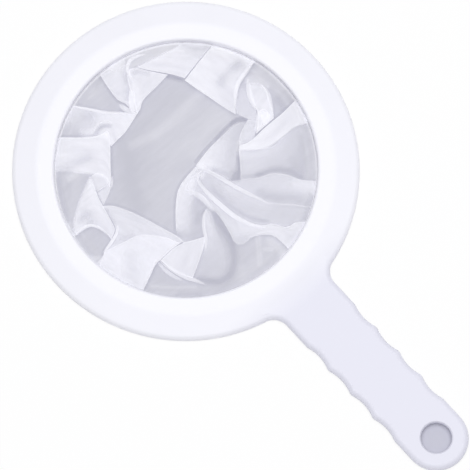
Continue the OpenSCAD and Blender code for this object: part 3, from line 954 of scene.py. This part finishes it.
def bottom_sheet():
    """A square grid bent into a round one, so that the cells stay even."""
    t = np.linspace(-1, 1, SHEET_CELLS + 1)
    a, b = np.meshgrid(t, t, indexing="ij")
    big = np.maximum(np.abs(a), np.abs(b))
    r = np.hypot(a, b)
    squeeze = np.where(r > 0, big / np.maximum(r, 1e-9), 0)
    x, y = NET_R * a * squeeze, NET_R * b * squeeze
    bunch = bunched(GATHERS, x, y)
    painted_shade = np.zeros(x.shape)
    # painted shade beside the folds thins the sheet
    for line, half, gain in painted_fold_shadows:
        painted_shade = np.minimum(painted_shade, gain * share_near(line, half, x, y))
    bunch += HEM_GAIN * ease((np.hypot(x, y) - HEM_R) / 2)
    z = keep_clear(x, y, sheet_height(x, y) + RIDGE * np.maximum(bunch, 0))
    c, s = math.cos(SHEET_TURN), math.sin(SHEET_TURN)
    count = np.maximum(1 + bunch + painted_shade, SHEET_THINNEST)
    patches.append((x, y, z, count, x * c + y * s, y * c - x * s, False))


bottom_sheet()
print("bottom sheet:", patches[-1][0].shape, "points,", len(painted_fold_shadows), "pressed lines")

# %% [markdown]
# ### One mesh
# The patches could stay separate pieces, but a net is one thing to move, to
# finish and to measure, so they go into one mesh. Three facts travel with each
# point: its place, its number of layers, and its place on the flat cloth, which
# the knit follows. A point is shifted a little by its height, so that it still
# shows where it was laid out when the camera looks at it from its own angle.


# %% Faces and facts of the patches
def wound(points, rows, columns, under):
    """The faces of one patch, wound so that its upper surface faces up."""
    i, j = np.meshgrid(np.arange(rows - 1), np.arange(columns - 1), indexing="ij")
    a = (i * columns + j).ravel()
    quads = np.column_stack([a, a + columns, a + columns + 1, a + 1])
    c = quads[len(quads) // 2]
    p = points[c[1]] - points[c[0]]
    q = points[c[3]] - points[c[0]]
    upward = p[0] * q[1] - p[1] * q[0] > 0
    return quads if upward != under else quads[:, ::-1]


def joined():
    """All patches together: points in metres, faces, layers, and places on the cloth."""
    points, faces, counts, flat, base = [], [], [], [], 0
    for x, y, z, count, s, t, under in patches:
        rx, ry = from_layout(x, y - (z - SLOT_LOW) * math.tan(VIEW_TILT))
        points.append(np.column_stack([rx.ravel(), ry.ravel(), z.ravel()]) * MM)
        counts.append(count.ravel())
        flat.append(np.column_stack([s.ravel(), t.ravel()]))
        faces.append(wound(points[-1], *x.shape, under) + base)
        base += x.size
    return np.vstack(points), np.vstack(faces), np.concatenate(counts), np.vstack(flat)


print("points:", sum(x.size for x, *_ in patches))

# %% Build the mesh
MERGE = 1e-6
STEEPEST, MOST_GAIN = 0.3, 2.0


def net_mesh():
    """The net's mesh. Steep cloth is seen through more threads, so its layers count for more."""
    points, faces, counts, flat = joined()
    mesh = bpy.data.meshes.new("net_cloth")
    mesh.from_pydata(points.tolist(), [], faces.tolist())
    mesh.attributes.new("cloth_layers", "FLOAT", "POINT").data.foreach_set("value", counts)
    uv = mesh.uv_layers.new(name="cloth_mm")
    loops = np.zeros(len(mesh.loops), np.int32)
    mesh.loops.foreach_get("vertex_index", loops)
    uv.data.foreach_set("uv", flat[loops].ravel())
    work = bmesh.new()
    work.from_mesh(mesh)
    bmesh.ops.remove_doubles(work, verts=work.verts, dist=MERGE)
    bmesh.ops.dissolve_degenerate(work, dist=MERGE, edges=work.edges)
    layer = work.verts.layers.float["cloth_layers"]
    work.normal_update()
    for vert in work.verts:
        vert[layer] *= min(1 / max(abs(vert.normal.z), STEEPEST), MOST_GAIN)
    for face in work.faces:
        face.smooth = True
    work.to_mesh(mesh)
    work.free()
    return mesh


net = bpy.data.objects.new("net_cloth", net_mesh())
bpy.context.scene.collection.objects.link(net)
net_area = sum(face.area for face in net.data.polygons)
print("net:", len(net.data.polygons), "faces,", round(net_area * 1e4, 1), "cm2")

# %% Let the cloth shade softly
SOFTENED = 0.6


def lie_softly(mesh, share):
    """Turns the shading normals towards the vertical, because loose thread shades softly."""
    corners = np.zeros(len(mesh.loops), np.int32)
    mesh.loops.foreach_get("vertex_index", corners)
    normals = np.zeros(len(mesh.vertices) * 3)
    mesh.vertices.foreach_get("normal", normals)
    sizes = np.zeros(len(mesh.polygons), np.int32)
    mesh.polygons.foreach_get("loop_total", sizes)
    facing = np.zeros(len(mesh.polygons) * 3)
    mesh.polygons.foreach_get("normal", facing)
    soft = normals.reshape(-1, 3)[corners] * (1 - share)
    soft[:, 2] += share * np.repeat(np.where(facing[2::3] < 0, -1.0, 1.0), sizes)
    soft /= np.linalg.norm(soft, axis=1)[:, None]
    mesh.normals_split_custom_set(soft.tolist())


lie_softly(net.data, SOFTENED)
print("shading turned", round(100 * SOFTENED), "% of the way to the vertical")

# %% [markdown]
# ### Net material
# A knitted mesh isn't glass: it is white thread with holes. From a distance
# that is a white surface that is partly open. The open share of n layers is
# the open share of one layer to the power n. Light that falls through is only
# dimmed a little, because thread scatters it on, so shadow rays see less of
# the cloth than the eye does. A fine weave and long, soft streaks where the
# threads run together keep it from looking like plastic film.

# %% Knit and streaks
STREAK_PITCH = (0.06, 0.32, 1)
STREAK_GAIN, WEAVE_GAIN = 0.4, 0.25


def knit_group():
    """How many layers of thread a spot has, about 1, and the height of the weave."""
    group, given, result = new_group(
        "fine_knit",
        [("Cloth", "NodeSocketVector", None), ("Pitch", "NodeSocketFloat", 0.36)],
        [("Layers", "NodeSocketFloat"), ("Height", "NodeSocketFloat")])
    turns = maths(group, "DIVIDE", 2 * math.pi, given.outputs["Pitch"])
    split = add(group, "ShaderNodeSeparateXYZ", in_0=given.outputs["Cloth"])
    wales = maths(group, "SINE", maths(group, "MULTIPLY", split.outputs["X"], turns))
    courses = maths(group, "SINE", maths(group, "MULTIPLY", split.outputs["Y"], turns))
    weave = maths(group, "MULTIPLY", wales, courses)
    group.links.new(weave, result.inputs["Height"])
    stretch = add(group, "ShaderNodeVectorMath", operation="MULTIPLY", in_0=given.outputs["Cloth"],
                  in_1=STREAK_PITCH)
    streak = add(group, "ShaderNodeTexNoise", in_Vector=stretch.outputs[0], in_Scale=1.0,
                 in_Detail=3.0)
    centred = maths(group, "SUBTRACT", streak.outputs[0], 0.5)
    soft = maths(group, "MULTIPLY", centred, STREAK_GAIN)
    fine = maths(group, "MULTIPLY", weave, WEAVE_GAIN)
    layers = maths(group, "ADD", maths(group, "ADD", 1.0, soft), fine)
    group.links.new(layers, result.inputs["Layers"])
    return group


FINE_KNIT = knit_group()
print("group:", FINE_KNIT.name, "with", len(FINE_KNIT.nodes), "nodes")

# %% The net's finish
OPEN_SHARE = 0.64  # what one layer leaves open
SHADOW_SHARE = 0.3


def net_finish():
    """White thread whose cover follows the number of layers."""
    material, tree = blank_material("net_mesh_white")
    cloth = add(tree, "ShaderNodeUVMap", uv_map="cloth_mm").outputs[0]
    knit = add(tree, "ShaderNodeGroup", node_tree=FINE_KNIT, in_Cloth=cloth)
    layers = add(tree, "ShaderNodeAttribute", attribute_name="cloth_layers").outputs["Fac"]
    layers = maths(tree, "MULTIPLY", layers, knit.outputs["Layers"])
    seen = maths(tree, "SUBTRACT", 1.0, maths(tree, "POWER", OPEN_SHARE, layers), clamp=True)
    path = add(tree, "ShaderNodeLightPath")
    dimmed = maths(tree, "MULTIPLY", seen, SHADOW_SHARE)
    alpha = add(tree, "ShaderNodeMix", in_0=path.outputs["Is Shadow Ray"], in_2=seen, in_3=dimmed)
    bump = add(tree, "ShaderNodeBump", in_Strength=0.1, in_Distance=0.00005,
               in_Height=knit.outputs["Height"])
    shader = add(tree, "ShaderNodeBsdfPrincipled", in_Base_Color=(0.955, 0.955, 1.0, 1),
                 in_Roughness=0.75, in_Specular_IOR_Level=0.2, in_Alpha=alpha.outputs[0],
                 in_Normal=bump.outputs[0])
    add(tree, "ShaderNodeOutputMaterial", in_Surface=shader.outputs[0])
    return material


net.data.materials.append(net_finish())
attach(net, "root")
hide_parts("net_bag")
print("net finished, one layer hides", round(1 - OPEN_SHARE, 2))

# %% [markdown]
# ## The hem
# The edge of the net is sewn into a tape that is folded round the hoop. The
# ring hides it, but it is what holds the net, so it is modelled in full. A
# plain torus would miss the flap that leads the net out through the slot, so
# the cross-section of the folded tape is drawn once and spun round the middle.

# %% Draw the tape's cross-section
TAPE = 0.00035
SEAM_IN, SEAM_DOWN = 0.8, 0.6  # where the flap leaves the tube, as shares of its radius
FLAP_BACK, FLAP_Z = 0.0003, 0.00172
TIP_PAST, TIP_Z = 0.0002, 0.00165
low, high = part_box("net_hem")
hem_r = (high.z - low.z) / 2
ring_r, hem_z, tube_r = high.x - hem_r, high.z - hem_r, hem_r - TAPE / 2
bpy.ops.mesh.primitive_circle_add(vertices=20, radius=tube_r, location=(ring_r, 0, hem_z),
                                  rotation=(math.pi / 2, 0, 0))
hem = bpy.context.object
hem.name = "net_hem_tape"
bpy.ops.object.transform_apply(location=True, rotation=True, scale=True)
work = bmesh.new()
work.from_mesh(hem.data)
seam = Vector((ring_r - tube_r * SEAM_IN, 0, hem_z - tube_r * SEAM_DOWN))
lowest = min(work.verts, key=lambda vert: (vert.co - seam).length)
flap = work.verts.new((ring_r - tube_r - FLAP_BACK, 0, FLAP_Z))
tip = work.verts.new((NET_R * MM + TIP_PAST, 0, TIP_Z))
work.edges.new((lowest, flap))
work.edges.new((flap, tip))
work.to_mesh(hem.data)
work.free()
print("cross-section:", len(hem.data.vertices), "points, tube", round(2000 * tube_r, 2), "mm")

# %% Spin it round the middle and give it thickness
bpy.ops.object.mode_set(mode="EDIT")
bpy.ops.mesh.select_all(action="SELECT")
bpy.ops.mesh.spin(steps=120, angle=2 * math.pi, center=(0, 0, 0), axis=(0, 0, 1))
bpy.ops.mesh.select_all(action="SELECT")
bpy.ops.mesh.remove_doubles(threshold=MERGE)
bpy.ops.mesh.normals_make_consistent(inside=False)
bpy.ops.object.mode_set(mode="OBJECT")
thicken = hem.modifiers.new("tape", "SOLIDIFY")
thicken.thickness = TAPE
thicken.offset = 0
bpy.ops.object.modifier_apply(modifier="tape")
bpy.ops.object.shade_smooth_by_angle(angle=math.radians(50))
print("hem:", len(hem.data.polygons), "faces")

# %% Woven tape
TAPE_PITCH = 0.5


def tape_finish():
    """A closed weave, coarser than the net's, with light and dark threads."""
    material, tree = blank_material("hem_tape_white")
    place = add(tree, "ShaderNodeTexCoord").outputs["Object"]
    in_mm = add(tree, "ShaderNodeVectorMath", operation="SCALE", in_0=place, in_Scale=1000.0)
    knit = add(tree, "ShaderNodeGroup", node_tree=FINE_KNIT, in_Cloth=in_mm.outputs[0],
               in_Pitch=TAPE_PITCH)
    bump = add(tree, "ShaderNodeBump", in_Strength=0.4, in_Distance=0.0001,
               in_Height=knit.outputs["Height"])
    thread = maths(tree, "SUBTRACT", knit.outputs["Layers"], 0.5)
    shade = add(tree, "ShaderNodeMix", data_type="RGBA", in_0=thread,
                in_6=(0.84, 0.85, 0.88, 1), in_7=(0.93, 0.93, 0.95, 1))
    shader = add(tree, "ShaderNodeBsdfPrincipled", in_Base_Color=shade.outputs[2],
                 in_Roughness=0.85, in_Normal=bump.outputs[0])
    add(tree, "ShaderNodeOutputMaterial", in_Surface=shader.outputs[0])
    return material


hem.data.materials.clear()
hem.data.materials.append(tape_finish())
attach(hem, "root")
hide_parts("net_hem")
print("hem finished")

# %% [markdown]
# ## The size of the cloth
# Before it was gathered, the net was a flat round cloth 178 mm across. The hem
# is sewn to it, and the closing ring holds the two.

print("one sheet:", net.name, "and", hem.name)
